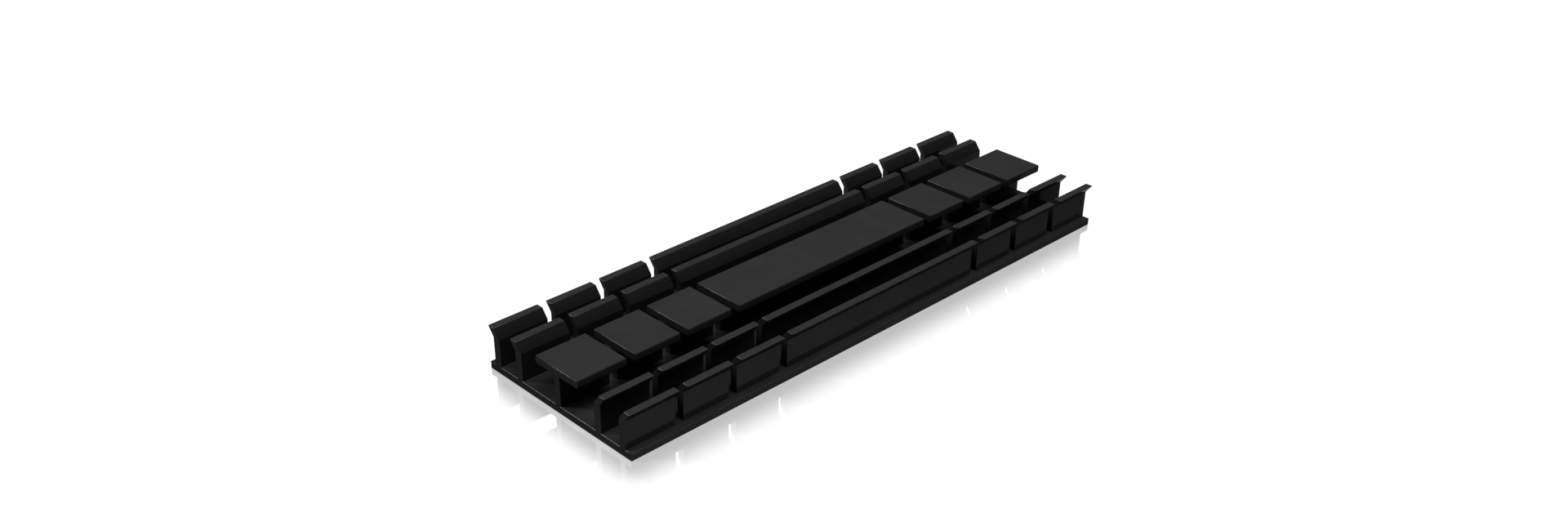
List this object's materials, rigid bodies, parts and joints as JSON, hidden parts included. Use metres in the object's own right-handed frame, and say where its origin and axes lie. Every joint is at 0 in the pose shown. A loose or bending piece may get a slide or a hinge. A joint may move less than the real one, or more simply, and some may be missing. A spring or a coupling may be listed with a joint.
{
  "type": "ssd heat sink",
  "caption": "Slim black anodised aluminium heat sink: a flat plate with flared side fins and a T-shaped middle rib, cut across by narrow slots.",
  "frame": {"origin": "middle of the flat underside, where the part lies on the drive", "axes": "+X along the drive, +Y across it, +Z from the underside up to the tops of the ribs; the part is the same about the XZ and YZ planes"},
  "size_m": [0.07, 0.022, 0.005],
  "materials": {
    "black_anodised_aluminium": "black anodised, satin, with small bevelled edges"
  },
  "bodies": {
    "root": {"heat_sink": "black_anodised_aluminium"}
  },
  "joints": []
}
